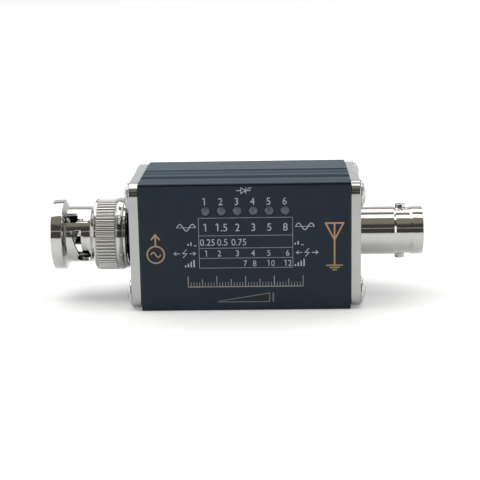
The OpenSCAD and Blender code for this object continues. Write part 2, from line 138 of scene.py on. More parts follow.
# Connectors. TAIL is the threaded end inside the case, as (radius, s) points, the same on both.
TAIL_R = 3.95
TAIL_BORE_R = 2.6
TAIL_END = -5.35
TAIL_CHAMFER = 0.3
TAIL_GAP = 0.05
TAIL = [
    (TAIL_BORE_R, TAIL_END), (TAIL_R - TAIL_CHAMFER, TAIL_END),
    (TAIL_R, TAIL_END + TAIL_CHAMFER), (TAIL_R, 0),
]
EDGE_R = 0.12
SLEEVE_R = 4.02
SLEEVE_ROOT = 6.15
SLEEVE_TIP = 10.75
SLEEVE_SLOT_W = 0.4

# Coupling nut. Angles are degrees round its axis, from the front and upwards.
NUT_R = 5.62
BRIDGE_R = 5.53
KNURL_TEETH = 60
KNURL_DEPTH = 0.3
KNURL_START = 3.5
KNURL_END = 7.25
KNURL_ROOT_R = 6.85
TOOTH_FORM = [0, 0.5, 0.88, 1, 1, 1, 0.88, 0.5]
RAMP_W = 2.35
ENTRY_START = 36.2
ENTRY_END = 59.8
SEAT_ANGLE = -47
SEAT_S = 10.15
SEAT_R = 1.4

# Print on the label.
INK_T = 0.012
INK_STEP = 0.0015
INK_LAYERS = 7

# A digit's height in the built-in font against the font's size, and how far digits are squeezed.
DIGIT_HEIGHT = 0.729
DIGIT_SQUEEZE = 0.94


# ---- mesh helpers ----


def new_object(name, bm, material, smooth_angle=35):
    """Turns a bmesh made in millimetres into an object in metres, smooth up to an angle."""
    bmesh.ops.recalc_face_normals(bm, faces=bm.faces)
    bm.transform(Matrix.Scale(MM, 4))
    mesh = bpy.data.meshes.new(name)
    bm.to_mesh(mesh)
    bm.free()
    obj = bpy.data.objects.new(name, mesh)
    bpy.context.scene.collection.objects.link(obj)
    mesh.materials.append(material)
    if smooth_angle:
        smooth(obj, smooth_angle)
    return obj


def smooth(obj, angle):
    """Smooth shading with sharp edges past an angle, and normals led by the larger faces."""
    obj.data.shade_smooth()
    obj.data.set_sharp_from_angle(angle=math.radians(angle))
    weighted = obj.modifiers.new("weighted", "WEIGHTED_NORMAL")
    weighted.keep_sharp = True
    bake_modifiers(obj)


def bake_modifiers(obj):
    """Replaces the object's mesh by what its modifiers make of it."""
    graph = bpy.context.evaluated_depsgraph_get()
    mesh = bpy.data.meshes.new_from_object(obj.evaluated_get(graph))
    old = obj.data
    obj.modifiers.clear()
    obj.data = mesh
    bpy.data.meshes.remove(old)
    mesh.name = obj.name


def stands_for(obj, body, slot, *nodes):
    """Rides on a body and replaces CAD nodes; its slot argument is not used."""
    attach(obj, body)
    if nodes:
        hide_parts(*nodes)


def rounded(points, radius, steps=3, is_open=False):
    """The outline with each corner replaced by an arc of that radius, or less where an edge is short."""
    nearly_straight = math.radians(170)
    edge_share = 0.45
    out = []
    count = len(points)
    for i, point in enumerate(points):
        here = Vector(point)
        before = Vector(points[i - 1]) - here
        after = Vector(points[(i + 1) % count]) - here
        turn = before.angle(after, math.pi)
        if (is_open and i in (0, count - 1)) or turn > nearly_straight:
            out.append(tuple(point))
            continue
        longest = edge_share * min(before.length, after.length)
        tangent = min(radius / math.tan(turn / 2), longest)
        to_before, to_after = before.normalized(), after.normalized()
        centre = here + (to_before + to_after).normalized() * (tangent / math.cos(turn / 2))
        first = here + to_before * tangent - centre
        last = here + to_after * tangent - centre
        sweep = math.atan2(first.x * last.y - first.y * last.x, first.dot(last))
        for k in range(steps + 1):
            a = sweep * k / steps
            c, s = math.cos(a), math.sin(a)
            out.append((centre.x + c * first.x - s * first.y, centre.y + s * first.x + c * first.y))
    return out


def arc(cx, cy, radius, start, end, steps):
    """Points on an arc, with its angles in degrees."""
    angles = [math.radians(start + (end - start) * k / steps) for k in range(steps + 1)]
    return [(cx + radius * math.cos(a), cy + radius * math.sin(a)) for a in angles]


def rectangle(low_u, low_v, high_u, high_v):
    """The four corners of a rectangle."""
    return [(low_u, low_v), (high_u, low_v), (high_u, high_v), (low_u, high_v)]


def on_axis(side):
    """Places a turned profile's point on one side's connector axis: 0 faces the front, 90 degrees up."""

    def place(r, angle, s):
        return (side * (FACE + s), -r * math.cos(angle), AXIS_Z + r * math.sin(angle))

    return place


def turned(profile, place, segments):
    """A bmesh of a closed profile of (radius, s) turned about an axis."""
    bm = bmesh.new()
    rings = []
    for r, s in profile:
        count = segments if r > TINY else 1
        rings.append([bm.verts.new(place(r, TAU * k / segments, s)) for k in range(count)])
    for ring, other in zip(rings, rings[1:] + rings[:1]):
        if len(ring) == len(other) == 1:
            continue
        for k in range(segments):
            n = (k + 1) % segments
            corners = [ring[k % len(ring)], ring[n % len(ring)], other[n % len(other)], other[k % len(other)]]
            bm.faces.new(list(dict.fromkeys(corners)))
    return bm


def inset(outline, distance):
    """The outline moved inwards by a distance, corner by corner."""
    mitre_limit = 0.4
    nexts = outline[1:] + outline[:1]
    sign = math.copysign(1, sum(a[0] * b[1] - b[0] * a[1] for a, b in zip(outline, nexts)))
    out = []
    for before, here, after in zip(outline[-1:] + outline[:-1], outline, nexts):
        a = (Vector(here) - Vector(before)).normalized()
        b = (Vector(after) - Vector(here)).normalized()
        normal = Vector((-a.y, a.x)) * sign
        middle = normal + Vector((-b.y, b.x)) * sign
        middle = middle.normalized() if middle.length > TINY else normal
        out.append(tuple(Vector(here) + middle * distance / max(middle.dot(normal), mitre_limit)))
    return out


def along_x(u, v, level):
    """Places an outline's point for a prism drawn along X."""
    return (level, u, v)


def along_y(u, v, level):
    """Places an outline's point for a prism drawn along Y."""
    return (u, level, v)


def along_z(u, v, level):
    """Places an outline's point for a prism drawn along Z."""
    return (u, v, level)


def lofted(sections):
    """A bmesh through matching rings of points, with walls between them and a face at each end."""
    bm = bmesh.new()
    rings = [[bm.verts.new(point) for point in section] for section in sections]
    for ring, other in zip(rings, rings[1:]):
        for k in range(len(ring)):
            n = (k + 1) % len(ring)
            bm.faces.new((ring[k], ring[n], other[n], other[k]))
    bm.faces.new(rings[0])
    bm.faces.new(rings[-1])
    return bm


def prism(outline, low, high, place=along_x, bevel=0.0, steps=3, both=True):
    """A bmesh of a flat outline drawn from low to high, its edges rounded at both ends or only at low."""
    levels = [(low, 0)]
    if bevel:
        turns = [math.pi / 2 * (1 - k / steps) for k in range(steps + 1)]
        levels = [(low + bevel * (1 - math.sin(t)), bevel * (1 - math.cos(t))) for t in turns]
    levels += [(low + high - level, depth) for level, depth in reversed(levels)] if both else [(high, 0)]
    rings = [(level, inset(outline, depth) if depth else outline) for level, depth in levels]
    return lofted([[place(u, v, level) for u, v in ring] for level, ring in rings])


def patch(outline, r0, r1):
    """A bmesh of an outline of (degrees round the plug's axis, s), drawn from one radius to another."""
    place = on_axis(PLUG)
    return lofted([[place(r, math.radians(a), s) for a, s in outline] for r in (r0, r1)])


def rod(place, radius, s0, s1, segments=32):
    """A bmesh of a plain round bar, used as a lead or as a drill."""
    return turned([(0, s0), (radius, s0), (radius, s1), (0, s1)], place, segments)


def axis_x(y, z):
    """Places a turned profile's point on a line along X, with s as its x."""
    return lambda r, angle, s: (s, y + r * math.cos(angle), z + r * math.sin(angle))


def axis_y(x, z):
    """Places a turned profile's point on a line along Y, with s as its y."""
    return lambda r, angle, s: (x + r * math.cos(angle), s, z + r * math.sin(angle))


def combine(obj, operation, bmeshes):
    """Adds bmeshes to the object or cuts them out of it."""
    tools = []
    for k, bm in enumerate(bmeshes):
        tool = new_object(f"tool_{k}", bm, obj.data.materials[0], smooth_angle=0)
        change = obj.modifiers.new(tool.name, "BOOLEAN")
        change.operation = operation
        change.solver = "EXACT"
        change.object = tool
        tools.append(tool)
    bake_modifiers(obj)
    for tool in tools:
        bpy.data.objects.remove(tool)


def join(bmeshes):
    """One bmesh from several."""
    target = bmeshes[0]
    for other in bmeshes[1:]:
        spare = bpy.data.meshes.new("spare")
        other.to_mesh(spare)
        other.free()
        target.from_mesh(spare)
        bpy.data.meshes.remove(spare)
    return target


# ---- material helpers ----


class Nodes:
    """A material's node tree with short calls for the nodes that every finish here uses."""

    def __init__(self, name):
        self.material = bpy.data.materials.new(name)
        self.material.use_nodes = True
        self.tree = self.material.node_tree
        self.shader = self.tree.nodes["Principled BSDF"]
        self.coords = self.add("ShaderNodeTexCoord").outputs["Object"]

    def add(self, kind, **settings):
        """A new node of that kind, with those settings."""
        node = self.tree.nodes.new(kind)
        for key, value in settings.items():
            setattr(node, key, value)
        return node

    def link(self, source, target):
        """Links an output to an input."""
        self.tree.links.new(source, target)

    def noise(self, scale, detail=4.0):
        """Noise with that many features per millimetre."""
        mapping = self.add("ShaderNodeMapping")
        mapping.inputs["Scale"].default_value = [scale / MM] * 3
        self.link(self.coords, mapping.inputs["Vector"])
        node = self.add("ShaderNodeTexNoise")
        node.inputs["Scale"].default_value = 1.0
        node.inputs["Detail"].default_value = detail
        node.inputs["Roughness"].default_value = 0.55
        self.link(mapping.outputs["Vector"], node.inputs["Vector"])
        return node.outputs["Fac"]

    def spread(self, source, low, high, start=0.3, end=0.7):
        """Maps a value between start and end to a number between low and high."""
        node = self.add("ShaderNodeMapRange")
        for socket, limit in zip(("From Min", "From Max", "To Min", "To Max"), (start, end, low, high)):
            node.inputs[socket].default_value = limit
        self.link(source, node.inputs["Value"])
        return node.outputs["Result"]

    def mix(self, factor, a, b):
        """A colour between a and b, each a colour or a socket."""
        node = self.add("ShaderNodeMix", data_type="RGBA")
        for socket, value in ((node.inputs["A"], a), (node.inputs["B"], b)):
            if isinstance(value, tuple):
                socket.default_value = (*value, 1)
            else:
                self.link(value, socket)
        self.link(factor, node.inputs["Factor"])
        return node.outputs["Result"]

    def edges(self, radius):
        """1 along edges and 0 on flat faces, from how far a bevel of that radius turns the normal."""
        at_edge, on_flat = 0.75, 0.995
        bevel = self.add("ShaderNodeBevel", samples=4)
        bevel.inputs["Radius"].default_value = radius * MM
        geometry = self.add("ShaderNodeNewGeometry")
        dot = self.add("ShaderNodeVectorMath", operation="DOT_PRODUCT")
        self.link(bevel.outputs["Normal"], dot.inputs[0])
        self.link(geometry.outputs["Normal"], dot.inputs[1])
        return self.spread(dot.outputs["Value"], 1.0, 0.0, at_edge, on_flat)

    def openness(self, reach):
        """0 deep in a recess and 1 out in the open, looking as far as reach in millimetres."""
        node = self.add("ShaderNodeAmbientOcclusion", samples=6)
        node.inputs["Distance"].default_value = reach * MM
        return node.outputs["AO"]

    def bump(self, height, depth):
        """A bump whose depth is in millimetres."""
        node = self.add("ShaderNodeBump")
        node.inputs["Strength"].default_value = 1.0
        node.inputs["Distance"].default_value = depth * MM
        self.link(height, node.inputs["Height"])
        self.link(node.outputs["Normal"], self.shader.inputs["Normal"])

    def set(self, **values):
        """Sets shader sockets: Base_Color=(r, g, b), Roughness=socket or number, and so on."""
        for key, value in values.items():
            socket = self.shader.inputs[key.replace("_", " ")]
            if isinstance(value, tuple):
                socket.default_value = (*value, 1)
            elif isinstance(value, (int, float)):
                socket.default_value = value
            else:
                self.link(value, socket)


def srgb(r, g, b):
    """A linear colour from the 0-255 values that a screen shows."""
    return tuple(((v / 255 + 0.055) / 1.055) ** 2.4 if v > 10 else v / 255 / 12.92 for v in (r, g, b))


def metal(name, light, dark, rough, grain=6.0, depth=0.002, wear=0.12, glancing=(1.0, 1.0, 1.0),
          recess_shading=0.0, bare_and_highlight=None):
    """A metal with drifting tone, grain in its gloss, a fine bump, worn edges and painted shade in deep
    recesses.

    Wear and depth are millimetres, and the recess shading is how much darker painted shade makes a deep
    hollow.
    """
    n = Nodes(name)
    tone = n.noise(0.25)
    fine = n.noise(grain, detail=3)
    colour = n.mix(n.spread(tone, 0, 1), dark, light)
    if recess_shading:
        # Painted shade: ambient occlusion darkens the colour in deep hollows.
        reach, shut, clear = 8, 0.08, 0.36
        shaded_colour = tuple(c * (1 - recess_shading) for c in dark)
        colour = n.mix(n.spread(n.openness(reach), 0, 1, shut, clear), shaded_colour, colour)
    # Paler edges are worn metal; on the case they are also a painted highlight along the rounded edges.
    worn = bare_and_highlight or tuple(min(1, c * 1.15) for c in light)
    n.set(
        Specular_Tint=glancing,
        Base_Color=n.mix(n.spread(n.edges(wear), 0, 0.7, 0, 1), colour, worn),
        Metallic=1.0,
        Roughness=n.spread(fine, *rough),
    )
    n.bump(fine, depth)
    return n.material


def plastic(name, base, shade, rough, grain=3.0, depth=0.004, wear=0.1, specular=0.5):
    """A moulded or sprayed finish with mottled tone, uneven gloss, a fine bump and paler edges."""
    n = Nodes(name)
    tone = n.noise(0.3)
    fine = n.noise(grain, detail=3)
    colour = n.mix(n.spread(tone, 0, 1), shade, base)
    worn = tuple(min(1, c * 1.35 + 0.01) for c in base)
    n.set(
        Base_Color=n.mix(n.spread(n.edges(wear), 0, 0.5, 0, 1), colour, worn),
        Roughness=n.spread(fine, *rough),
        Specular_IOR_Level=specular,
    )
    n.bump(fine, depth)
    return n.material


def make_materials():
    """One finish for each material slot of the record, and the label's inks, by name."""
    finishes = [
        # The case's pale edge colour is bare metal where the anodising wears, and also a painted highlight
        # along its rounded edges.
        metal("case_anodised", (0.027, 0.035, 0.045), (0.021, 0.028, 0.037), (0.28, 0.38), grain=9.0,
              depth=0.004, wear=0.25, glancing=(0.71, 0.79, 0.85), bare_and_highlight=(0.13, 0.16, 0.18)),
        plastic("label_film", (0.008, 0.018, 0.034), (0.006, 0.015, 0.029), (0.42, 0.52), grain=5.0,
                depth=0.002, specular=0.26),
        metal("bright_plate", (0.41, 0.415, 0.41), (0.38, 0.387, 0.38), (0.1, 0.18), grain=4.0),
        metal("screw_steel", (0.6, 0.6, 0.6), (0.5, 0.5, 0.5), (0.12, 0.26), grain=5.0),
        # Painted shade darkens the nickel in deep hollows, such as the coupling nut's bore.
        metal("connector_nickel", (0.51, 0.51, 0.495), (0.475, 0.477, 0.465), (0.05, 0.12), grain=3.0,
              depth=0.001, recess_shading=0.75),
        metal("steel_spring", (0.5, 0.5, 0.5), (0.4, 0.4, 0.41), (0.2, 0.32)),
        metal("contact_gold", (0.85, 0.62, 0.27), (0.75, 0.52, 0.22), (0.14, 0.24)),
        plastic("insulator_white", (0.8, 0.79, 0.76), (0.74, 0.73, 0.7), (0.4, 0.5)),
        plastic("gasket_silicone", (0.22, 0.045, 0.025), (0.17, 0.035, 0.02), (0.5, 0.62)),
        plastic("circuit_board", (0.015, 0.1, 0.05), (0.01, 0.075, 0.035), (0.25, 0.4)),
        plastic("chip_black", (0.018, 0.018, 0.02), (0.012, 0.012, 0.013), (0.45, 0.6)),
        plastic("chip_tan", (0.42, 0.3, 0.17), (0.36, 0.25, 0.14), (0.35, 0.5)),
        plastic("diode_glass", (0.5, 0.16, 0.05), (0.4, 0.12, 0.04), (0.08, 0.14)),
        plastic("ferrite", (0.06, 0.065, 0.07), (0.045, 0.05, 0.052), (0.55, 0.7), depth=0.01),
        metal("copper_wire", (0.62, 0.22, 0.09), (0.5, 0.16, 0.06), (0.16, 0.26)),
        plastic("header_plastic", (0.015, 0.015, 0.016), (0.01, 0.01, 0.011), (0.4, 0.55)),
        metal("socket_steel", (0.6, 0.6, 0.6), (0.52, 0.52, 0.53), (0.16, 0.28)),
        metal("switch_metal", (0.6, 0.6, 0.59), (0.5, 0.5, 0.5), (0.2, 0.34)),
        plastic("switch_black", (0.018, 0.018, 0.019), (0.013, 0.013, 0.014), (0.35, 0.5)),
        metal("cell_pouch", (0.62, 0.63, 0.65), (0.52, 0.53, 0.55), (0.26, 0.42), grain=1.2, depth=0.03),
        plastic("lead_red", (0.5, 0.03, 0.02), (0.42, 0.025, 0.018), (0.35, 0.48)),
        lamp_material(),
        flat_ink("ink_white", (178, 184, 194), (150, 157, 168)),
        flat_ink("ink_grey", (128, 134, 148), (108, 114, 128)),
        flat_ink("ink_gold_grey", (142, 140, 128), (120, 120, 112)),
        flat_ink("ink_warm_grey", (118, 114, 110), (98, 96, 94)),
        copper_ink(),
    ]
    return {slot_name(material): material for material in finishes}


def slot_name(material):
    """A material's name without the number that Blender adds to a name that is taken."""
    return material.name.split(".")[0]


def flat_ink(name, light, dark):
    """Printing ink between two screen colours, with hardly any wear."""
    return plastic(name, srgb(*light), srgb(*dark), (0.42, 0.58), wear=0.02)


def copper_ink():
    """Metallic ink that drifts from copper at the top to olive gold at the bottom."""
    copper, olive, brown = srgb(196, 142, 104), srgb(150, 138, 88), srgb(120, 92, 66)
    low_z, high_z = 0.007, 0.018
    n = Nodes("ink_copper")
    height = n.add("ShaderNodeSeparateXYZ")
    n.link(n.coords, height.inputs["Vector"])
    fade = n.spread(height.outputs["Z"], 0, 1, low_z, high_z)
    fine = n.noise(8.0, detail=2)
    n.set(
        Base_Color=n.mix(n.spread(fine, 0, 0.35), n.mix(fade, olive, copper), brown),
        Metallic=0.2,
        Roughness=n.spread(fine, 0.35, 0.5),
    )
    n.bump(fine, 0.001)
    return n.material


def lamp_material():
    """Milky lens of an unlit lamp, which lets a little light through."""
    scatter_m = 0.0006
    n = Nodes("lamp_lens")
    fine = n.noise(4.0, detail=2)
    tone = n.noise(0.8)
    n.set(
        Base_Color=n.mix(n.spread(tone, 0, 1), (0.06, 0.074, 0.098), (0.1, 0.117, 0.145)),
        Roughness=n.spread(fine, 0.3, 0.45),
        Specular_IOR_Level=0.4,
        Subsurface_Weight=0.25,
    )
    n.shader.inputs["Subsurface Radius"].default_value = (scatter_m, scatter_m, scatter_m)
    n.bump(fine, 0.002)
    return n.material


# ---- stage, light and camera ----


def make_camera():
    """The camera at the photograph's viewing angle."""
    focal_length = 95.28
    place_mm = Vector((6.6935, -249.46, 70.331))
    yaw, pitch, roll = 0.03221, -0.23324, 0.01933
    data = bpy.data.cameras.new("camera")
    data.sensor_width = 36.0
    data.lens = focal_length
    data.clip_start = 0.01
    camera = bpy.data.objects.new("camera", data)
    bpy.context.scene.collection.objects.link(camera)
    turn = Matrix.Rotation(yaw, 3, "Z") @ Matrix.Rotation(pitch, 3, "X") @ Matrix.Rotation(roll, 3, "Y")
    right, ahead, up = (turn @ Vector(v) for v in ((1, 0, 0), (0, 1, 0), (0, 0, 1)))
    pose = Matrix((right, up, -ahead)).transposed().to_4x4()
    pose.translation = place_mm * MM
    camera.matrix_world = pose
    bpy.context.scene.camera = camera


def make_floor():
    """A wide sheet of pale paper that glows a little, so that its shadows stay light."""
    half_width = 4000
    bm = bmesh.new()
    bmesh.ops.create_grid(bm, x_segments=8, y_segments=8, size=half_width)
    n = Nodes("floor_paper")
    n.set(
        Base_Color=n.mix(n.spread(n.noise(0.01), 0, 1), (0.84, 0.84, 0.84), (0.86, 0.86, 0.86)),
        Roughness=0.9,
        Specular_IOR_Level=0.1,
        Emission_Color=(0.92, 0.95, 1.0),
        Emission_Strength=0.19,
    )
    new_object("floor", bm, n.material)


def area_light(name, place, aim, size, radiance, colour=(1, 1, 1)):
    """A soft box of that width and height in metres, whose face shines with that radiance."""
    data = bpy.data.lights.new(name, "AREA")
    data.shape = "RECTANGLE"
    data.size, data.size_y = size
    data.energy = radiance * math.pi * size[0] * size[1]
    data.color = colour
    light = bpy.data.objects.new(name, data)
    light.location = place
    light.rotation_euler = (Vector(aim) - Vector(place)).to_track_quat("-Z", "Y").to_euler()
    bpy.context.scene.collection.objects.link(light)


def make_world():
    """A dim studio, lighter and warmer towards its ceiling."""
    world = bpy.data.worlds.new("studio")
    world.use_nodes = True
    tree = world.node_tree
    direction = tree.nodes.new("ShaderNodeTexCoord")
    parts = tree.nodes.new("ShaderNodeSeparateXYZ")
    ramp = tree.nodes.new("ShaderNodeValToRGB")
    tree.links.new(direction.outputs["Generated"], parts.inputs["Vector"])
    tree.links.new(parts.outputs["Z"], ramp.inputs["Fac"])
    tree.links.new(ramp.outputs["Color"], tree.nodes["Background"].inputs["Color"])
    stops = ((0.62, (0.085, 0.076, 0.07, 1)), (0.73, (0.36, 0.33, 0.27, 1)))
    for element, (height, colour) in zip(ramp.color_ramp.elements, stops):
        element.position = height
        element.color = colour
    bpy.context.scene.world = world


def make_light():
    """Soft boxes overhead with a gap on the right, pale panels behind and at the sides, a strip in front."""
    bpy.context.scene.view_settings.view_transform = "Standard"
    ceiling = 0.9
    for name, x0, x1, y0, y1, radiance in (
        ("front_box", -1.1, 1.1, -0.24, 0.05, 2.6),
        ("left_box", -1.1, -0.04, 0.05, 0.32, 2.2),
        ("back_box", -1.1, 1.1, 0.32, 0.9, 2.1),
    ):
        middle = ((x0 + x1) / 2, (y0 + y1) / 2)
        area_light(name, (*middle, ceiling), (*middle, 0), (x1 - x0, y1 - y0), radiance)
    area_light("back_panel", (0, 1.55, 0.59), (0, 0, 0.59), (3.6, 1.18), 0.82, (0.93, 0.97, 1.0))
    for side in (-1, 1):
        area_light("side_panel", (side * 1.3, -0.4, 0.35), (0, -0.4, 0.35), (1.8, 0.7), 1.9)
    area_light("front_strip", (0, -1.3, 0.55), (0, 0, 0), (2.6, 0.06), 0.6)


# ---- case ----


def top_line():
    """(y, z) points of the ribbed top, from the front edge to the back edge."""
    deep, mid, low = 0.3, 0.2, 0.12
    groove_half = 0.8
    drops = [
        (FRONT, low), (-11.0, low), (-9.8, 0), (-8.8, 0), (-7.3, deep), (-6.2, deep), (-4.9, 0), (-4.1, 0),
        (-3.1, mid), (-2.1, mid), (-0.9, 0), (SPLIT - groove_half, 0),
        (SPLIT, SEAM_DEPTH), (SPLIT + groove_half, 0), (2.6, 0), (3.6, low), (BACK, low),
    ]
    return [(y, TOP - drop) for y, drop in drops]


def inner_line(sign, seam_y):
    """(y, z) points of a shell's inside with its two screw bosses, from the seam's top to its bottom."""
    wall_y, wall_z = HALF_DEPTH - WALL, MID_Z - WALL
    boss_y, boss_z = HALF_DEPTH - SCREW_INSET_Y, MID_Z - SCREW_INSET_Z
    reach_z = math.degrees(math.asin((wall_z - boss_z) / BOSS_R))
    reach_y = math.degrees(math.acos((wall_y - boss_y) / BOSS_R))
    boss = arc(boss_y, boss_z, BOSS_R, 180 - reach_z, 360 - reach_y, 14)
    upper = [(sign * y, MID_Z + z) for y, z in boss]
    lower = [(sign * y, MID_Z - z) for y, z in reversed(boss)]
    return [(seam_y, MID_Z + wall_z)] + upper + lower + [(seam_y, MID_Z - wall_z)]


def screw_axis(y_side, z_side):
    """(y, z) of one of the four screws of an end plate."""
    return y_side * (HALF_DEPTH - SCREW_INSET_Y), MID_Z + z_side * (MID_Z - SCREW_INSET_Z)


def shell(name, sign):
    """One half of the case and its screw bores: sign -1 is the front half and 1 the back half."""
    groove_floor, chamfer_y, chamfer_z = 0.49, 0.6, 0.35
    seam_y = SPLIT - SEAM_GAP if sign < 0 else SPLIT
    edge = rounded(top_line(), RIB_R, 4, is_open=True)
    top = [p for p in edge if (p[0] - seam_y) * sign > 0.01]
    top = [(seam_y, TOP - groove_floor)] + (top[::-1] if sign < 0 else top)
    bottom = [(sign * HALF_DEPTH, 0), (SPLIT + sign * chamfer_y, 0), (seam_y, chamfer_z)]
    corner = rounded([top[-2], top[-1], bottom[0], bottom[1]], CORNER_R, 5, is_open=True)[1:-1]
    outline = top[:-1] + corner + bottom[1:] + inner_line(sign, seam_y)[::-1]
    body = prism(outline, -HALF_LEN, HALF_LEN, bevel=0.07, steps=2)
    obj = new_object(name, body, MATERIALS["case_anodised"])
    end = HALF_LEN + OVERSHOOT
    bores = [rod(axis_x(*screw_axis(sign, up)), SCREW_R + CASE_GAP, -end, end) for up in (-1, 1)]
    return obj, bores


def make_front_shell():
    """The front half of the case, with a hole for each lamp."""
    obj, bores = shell("front_shell_visual", -1)
    combine(obj, "DIFFERENCE", bores + lamp_bores(FRONT + WALL + OVERSHOOT / 2))
    smooth(obj, FLAT_ANGLE)
    stands_for(obj, "case", "case_anodised", "front_shell")


def make_rear_shell():
    """The rear half of the case, open at the charging socket and at the slide switch."""
    obj, bores = shell("rear_shell_visual", 1)
    combine(obj, "DIFFERENCE", bores + [back_opening(socket_outline()), back_opening(switch_outline())])
    smooth(obj, FLAT_ANGLE)
    stands_for(obj, "case", "case_anodised", "rear_shell")


def lamp_bores(end):
    """Drills for the six lamp holes, from in front of the label to that y."""
    return [rod(axis_y(x, LAMP_Z), LAMP_HOLE_R, FRONT - OVERSHOOT, end, 48) for x in LAMP_XS]


def back_opening(outline):
    """A cutter that takes an (x, z) outline out of the back wall."""
    return prism(outline, BACK - WALL - OVERSHOOT / 2, BACK + OVERSHOOT, along_y)


def socket_outline():
    """An oval with a narrow gap round the charging socket."""
    low, high = box_mm("usb_socket_shell")
    r = (high.z - low.z) / 2
    mid = (low.z + high.z) / 2
    gap = 0.12
    return arc(high.x - r, mid, r + gap, -90, 90, 12) + arc(low.x + r, mid, r + gap, 90, 270, 12)


def switch_outline():
    """A rounded slot as long as the slider and its travel."""
    low, high = box_mm("mode_switch_slider")
    first, last = frame_joint("mode_switch_slide")["range_m"]
    travel = (last - first) / MM
    z = (low.z + high.z) / 2
    gap, half_height = 0.3, 0.95
    slot = rectangle(low.x - gap, z - half_height, high.x + travel + gap, z + half_height)
    return rounded(slot, 0.25)


def make_slider():
    """The switch's slider: its inner block and a knob with rounded edges and three grooves."""
    name = "mode_switch_slider"
    groove_half, groove_depth, overlap = 0.1, 0.14, 0.2
    low, high = box_mm(name)
    points = [v.co / MM for v in frame["nodes"][name].data.vertices]
    knob = [p for p in points if p.y > BACK]
    x0, x1 = min(p.x for p in knob), max(p.x for p in knob)
    z0, z1 = min(p.z for p in knob), max(p.z for p in knob)
    block_y = max(p.y for p in points if p.x < x0 - 0.1)
    end = [(x1, high.y)]
    for k in (3, 2, 1):
        x = x0 + (x1 - x0) * k / 4
        end += [(x + groove_half, high.y), (x, high.y - groove_depth), (x - groove_half, high.y)]
    outline = [(x0, block_y - overlap), (x1, block_y - overlap)] + end + [(x0, high.y)]
    parts = [
        prism(rounded(rectangle(low.x, low.z, high.x, high.z), 0.15), low.y, block_y, along_y, bevel=0.06),
        prism(rounded(outline, 0.04), z0, z1, along_z, bevel=0.04),
    ]
    obj = new_object(name + "_visual", join(parts), MATERIALS["switch_black"], smooth_angle=ROUND_ANGLE)
    stands_for(obj, "mode_switch", "switch_black", name)


def frame_joint(name):
    """The frame's entry for a joint."""
    return next(joint for joint in frame["joints"] if joint["name"] == name)


def make_end_plate(side, name):
    """A thick plate with rounded corners, a hole for its connector and four screw holes."""
    low, high = box_mm(name)
    outline = rounded(rectangle(low.y, low.z, high.y, high.z), PLATE_CORNER_R, 12)
    body = prism(outline, low.x, high.x, bevel=PLATE_EDGE, steps=4)
    obj = new_object(name + "_visual", body, MATERIALS["bright_plate"])
    holes = [rod(on_axis(side), TAIL_R + TAIL_GAP, -5, OVERSHOOT, 64)]
    for corner in SCREW_CORNERS:
        axis = axis_x(*screw_axis(*corner))
        holes.append(rod(axis, SCREW_R + PLATE_GAP, low.x - OVERSHOOT, high.x + OVERSHOOT))
    combine(obj, "DIFFERENCE", holes)
    smooth(obj, FLAT_ANGLE)
    stands_for(obj, "case", "bright_plate", name)


def make_plate_screws(side, name):
    """Four pan-head screws with a cross recess, each a little differently turned."""
    low, high = box_mm(name)
    tip = (high.x - low.x) - HEAD_H
    radii = [HEAD_R * k / 10 for k in range(11)]
    dome = [(r, HEAD_H - HEAD_DOME_R + math.sqrt(HEAD_DOME_R**2 - r**2)) for r in radii]
    point = 0.4
    shank = [(HEAD_R, 0), (SCREW_R, 0), (SCREW_R, -tip + point), (SCREW_R - point, -tip), (0, -tip)]
    profile = rounded(dome + shank, EDGE_R, is_open=True)
    screws = []
    for corner in SCREW_CORNERS:
        place = screw_place(side, *screw_axis(*corner))
        screw = new_object("screw", turned(profile, place, 64), MATERIALS["screw_steel"])
        turn = math.radians(random.uniform(0, 90))
        combine(screw, "DIFFERENCE", [cross_arm(place, turn), cross_arm(place, turn + math.pi / 2)])
        screws.append(screw)
    obj = merge(name + "_visual", screws)
    smooth(obj, ROUND_ANGLE)
    stands_for(obj, "case", "screw_steel", name)


def screw_place(side, y, z):
    """Places a turned profile's point on a screw's axis, with s outwards from the plate's face."""
    return lambda r, angle, s: (side * (FACE + s), y + r * math.cos(angle), z + r * math.sin(angle))


def cross_arm(place, turn):
    """One tapered arm of a cross recess, from its floor to above the screw's head."""

    def ring(s, reach, half):
        corners = rectangle(-reach, -half, reach, half)
        return [place(math.hypot(u, v), math.atan2(v, u) + turn, s) for u, v in corners]

    return lofted([ring(s=0.42, reach=0.95, half=0.2), ring(s=1.3, reach=1.42, half=0.34)])


def merge(name, objects):
    """One object from several."""
    target = objects[0]
    with bpy.context.temp_override(
        active_object=target, object=target, selected_objects=objects, selected_editable_objects=objects
    ):
        bpy.ops.object.join()
    target.name = name
    target.data.name = name
    return target


# ---- label and its print ----


def make_label():
    """The film of the label, with a hole for each lamp."""
    outline = rounded(rectangle(LABEL_LOW.x, LABEL_LOW.z, LABEL_HIGH.x, LABEL_HIGH.z), 0.2)
    film = prism(outline, LABEL_LOW.y, LABEL_HIGH.y, along_y, bevel=0.13, both=False)
    obj = new_object("label_visual", film, MATERIALS["label_film"])
    combine(obj, "DIFFERENCE", lamp_bores(FRONT + OVERSHOOT))
    smooth(obj, FLAT_ANGLE)
    stands_for(obj, "case", "label_film", "front_label")


def ink(outline):
    """A flat printed shape on the label: an outline of (x, z) with a hair's thickness."""
    return prism(outline, LABEL_LOW.y - INK_T, LABEL_LOW.y + INK_T / 4, along_y)


def printed(name, shapes, material):
    """One printed piece from several shapes, each a hair thicker, so that crossing ones share no face."""
    for k, bm in enumerate(shapes):
        layer = k if k < INK_LAYERS else 1 + k % (INK_LAYERS - 1)
        bmesh.ops.translate(bm, verts=bm.verts, vec=(0, -layer * INK_STEP, 0))
    obj = new_object(name, join(shapes), MATERIALS[material])
    stands_for(obj, "case", "label_film")


